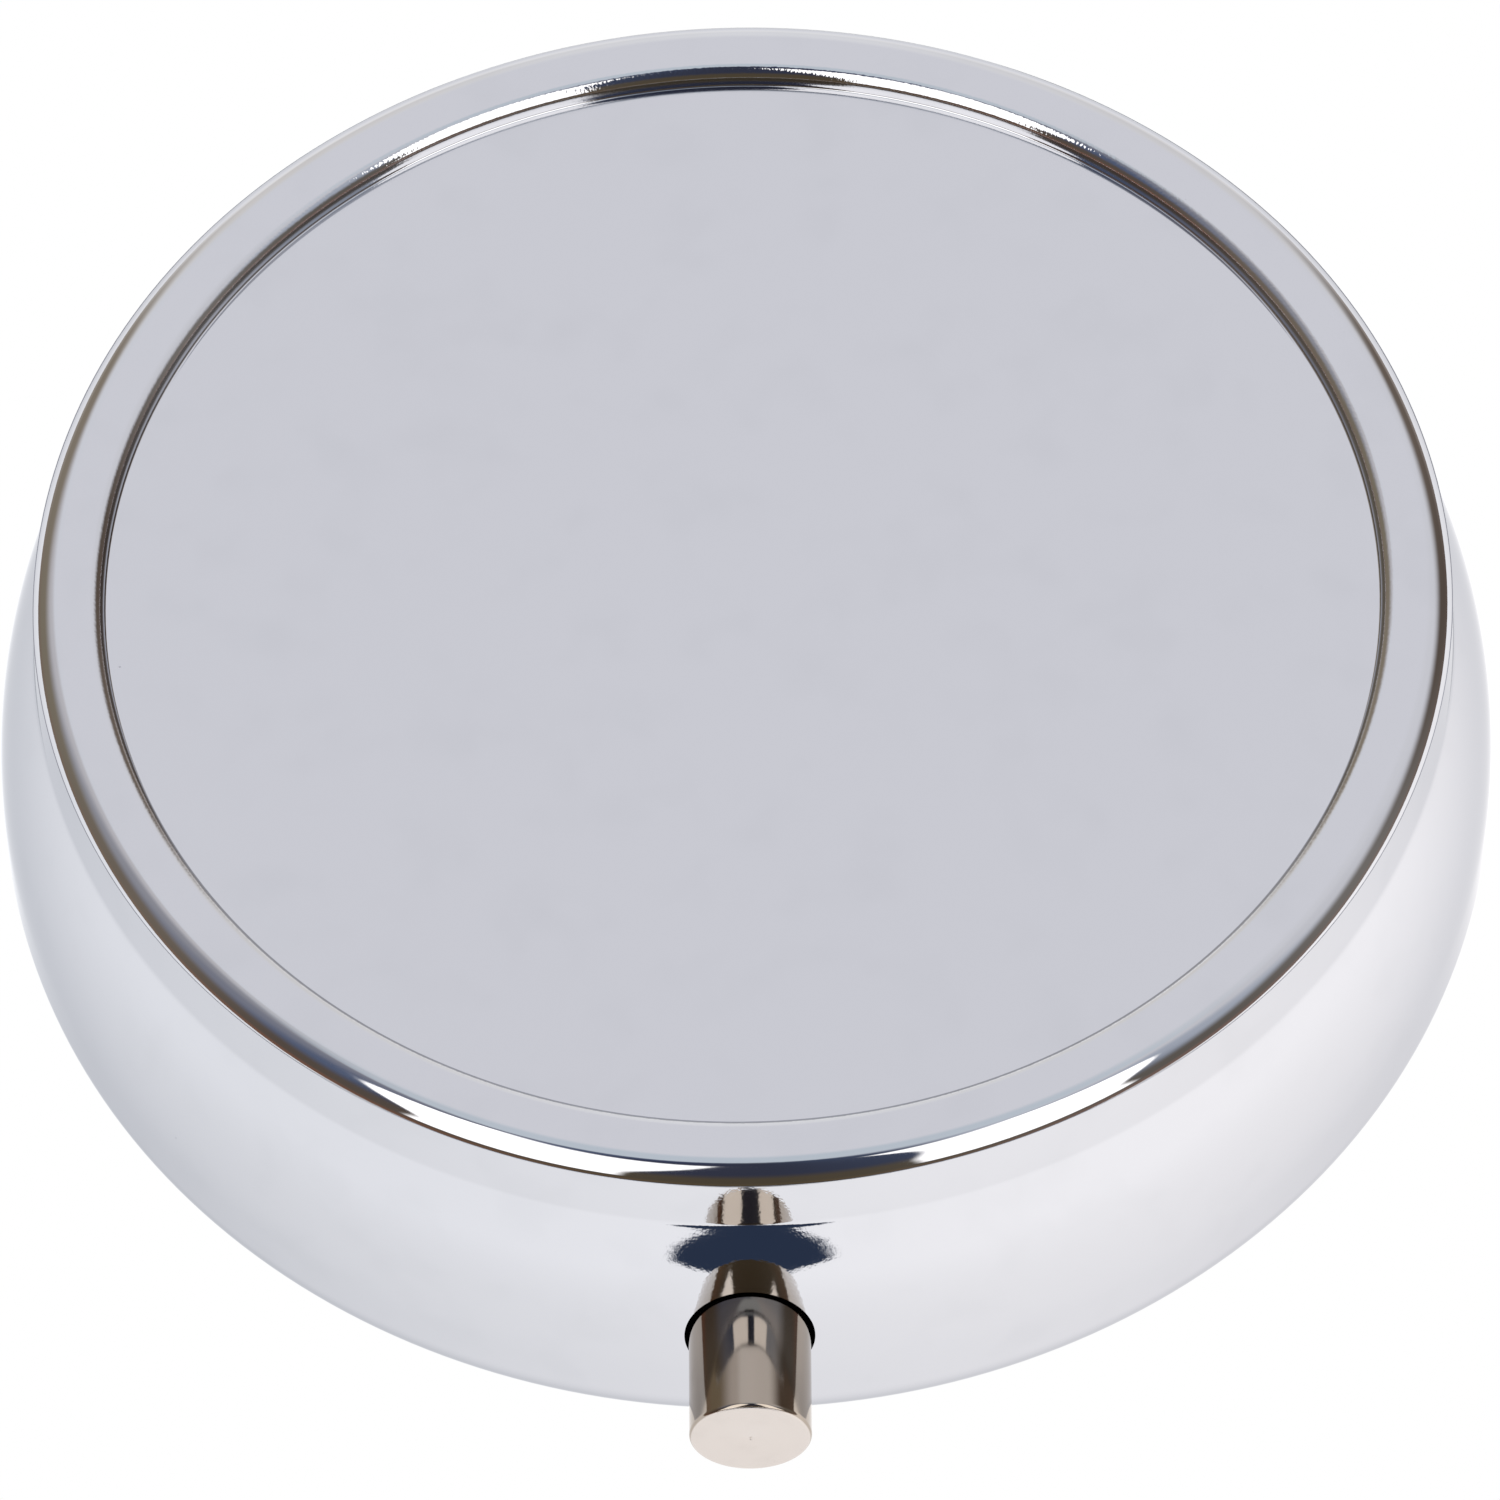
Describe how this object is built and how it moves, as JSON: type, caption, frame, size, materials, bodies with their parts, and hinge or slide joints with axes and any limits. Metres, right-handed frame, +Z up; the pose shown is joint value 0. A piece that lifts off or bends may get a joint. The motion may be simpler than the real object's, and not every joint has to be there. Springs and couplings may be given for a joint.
{
  "type": "pill box",
  "caption": "Round metal pill box with a hinged recessed-panel lid, a push-button spring catch and a lift-out tray with compartments.",
  "frame": {"origin": "centre of the flat underside of the base, on the table", "axes": "+Z up through the lid panel, -Y to the front where the push button is, +Y to the rear where the hinge is"},
  "size_m": [0.0506, 0.0543, 0.0132],
  "materials": {
    "polished_chrome": "mirror-polished chrome plate",
    "polished_nickel": "turned and nickel plated, polished",
    "plated_steel": "satin nickel plate",
    "hinge_steel": "stamped, tumbled and nickel plated",
    "pin_steel": "drawn wire, bright",
    "spring_steel": "hard-drawn spring steel",
    "rivet_steel": "headed and nickel plated",
    "white_plastic": "moulded, fine satin"
  },
  "bodies": {
    "base": {"base_shell": "polished_chrome", "inner_frame": "plated_steel", "pill_tray": "white_plastic", "hinge_base_leaf": "hinge_steel", "hinge_pin": "pin_steel", "lid_spring": "spring_steel", "catch_spring": "spring_steel", "catch_rivet_left": "rivet_steel", "catch_rivet_right": "rivet_steel", "hinge_base_rivet_left": "rivet_steel", "hinge_base_rivet_right": "rivet_steel"},
    "lid": {"lid_shell": "polished_chrome", "lid_liner": "plated_steel", "hinge_lid_leaf": "hinge_steel", "lid_keeper": "hinge_steel", "hinge_lid_rivet_left": "rivet_steel", "hinge_lid_rivet_right": "rivet_steel", "keeper_rivet_left": "rivet_steel", "keeper_rivet_right": "rivet_steel"},
    "button": {"push_button": "polished_nickel"}
  },
  "joints": [
    {"name": "lid_hinge", "type": "hinge", "parent": "base", "child": "lid", "pos_m": [0, 0.0237, 0.0108], "axis": [-1, 0, 0], "range_deg": [0, 100], "deforming": ["lid_spring"]},
    {"name": "button_press", "type": "slide", "parent": "base", "child": "button", "axis": [0, 1, 0], "range_m": [0, 0.001], "stiffness_N_per_m": 1500, "deforming": ["catch_spring"]}
  ]
}
